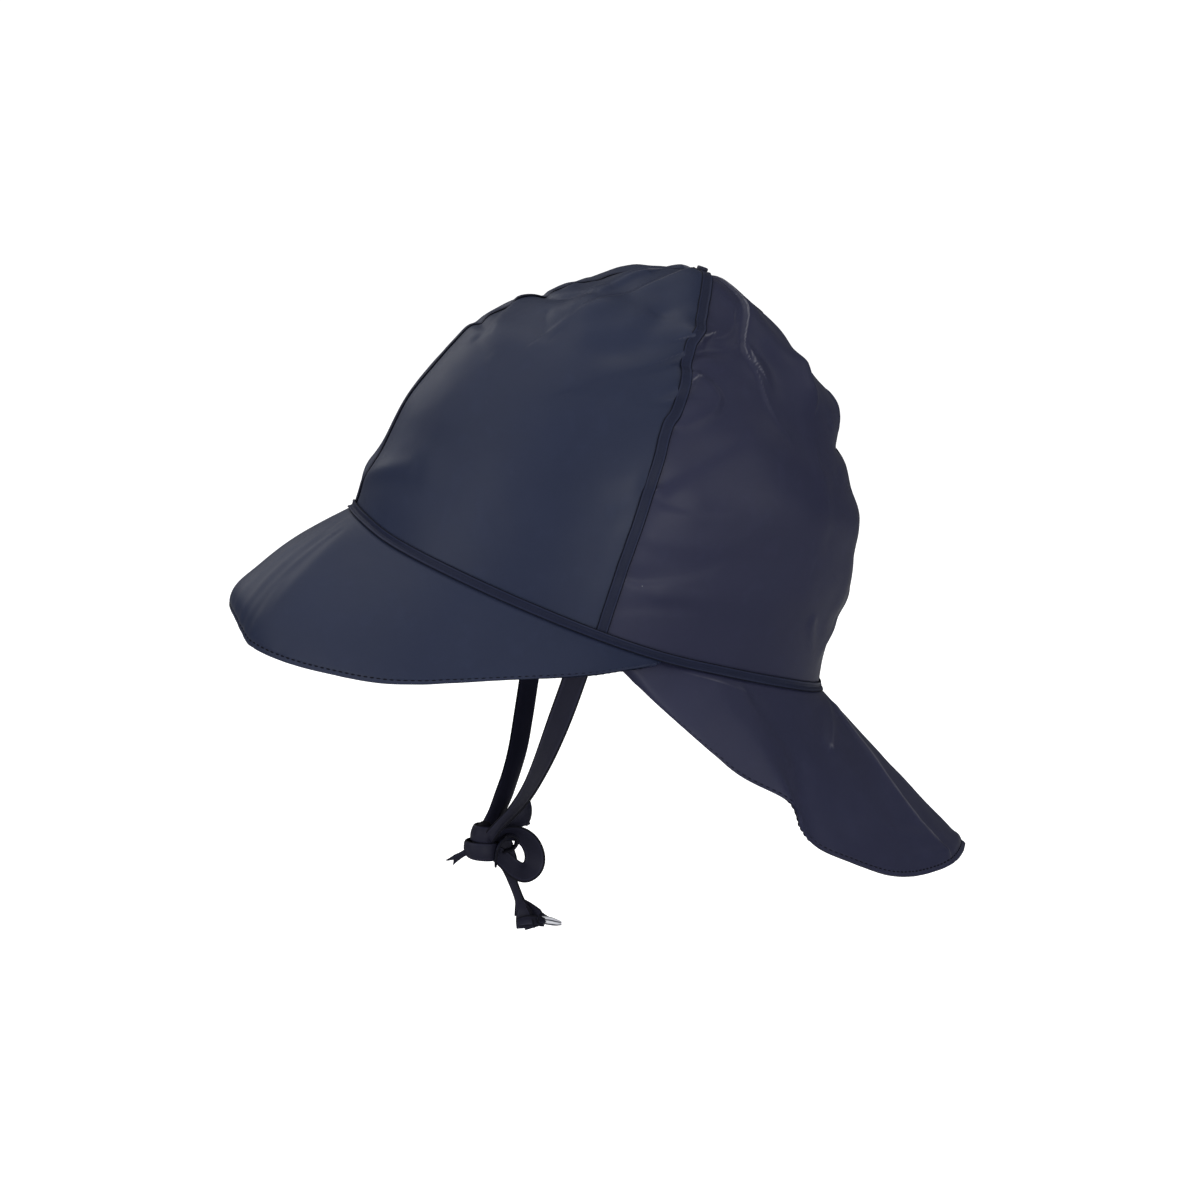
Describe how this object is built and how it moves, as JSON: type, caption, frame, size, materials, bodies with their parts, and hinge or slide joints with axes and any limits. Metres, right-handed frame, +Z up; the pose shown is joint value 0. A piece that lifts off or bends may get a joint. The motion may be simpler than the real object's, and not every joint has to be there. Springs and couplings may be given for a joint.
{
  "type": "rain hat",
  "caption": "Child's waterproof rain hat with a domed crown, a curved peak over the brow, a flared neck flap and flat chin ties in a bow.",
  "frame": {"origin": "centre of the head opening, where the hat sits on a head", "axes": "+Z up as worn, brow towards -Y, the wearer's left ear towards +X"},
  "size_m": [0.1624, 0.2693, 0.2423],
  "materials": {
    "cloth_front": "semi-matt coated cloth, dark navy",
    "cloth_rear": "semi-matt coated cloth, dark navy",
    "tape": "coated seam tape, dark navy",
    "tie": "coated cloth ribbon, dark navy"
  },
  "bodies": {
    "root": {"crown_front_left": "cloth_front", "crown_front_right": "cloth_front", "crown_rear_left": "cloth_rear", "crown_rear_right": "cloth_rear", "ear_seam_tape": "tape", "front_seam_tape": "tape", "rear_seam_tape": "tape", "hem_tape": "tape", "apex_nub": "tape", "peak": "cloth_front", "neck_flap": "cloth_rear", "tie_left": "tie", "tie_right": "tie", "bow_knot": "tie", "bow_loop_large": "tie", "bow_loop_small": "tie", "tie_tail_short": "tie", "tie_tail_long": "tie", "tail_knot": "tie"}
  },
  "joints": []
}
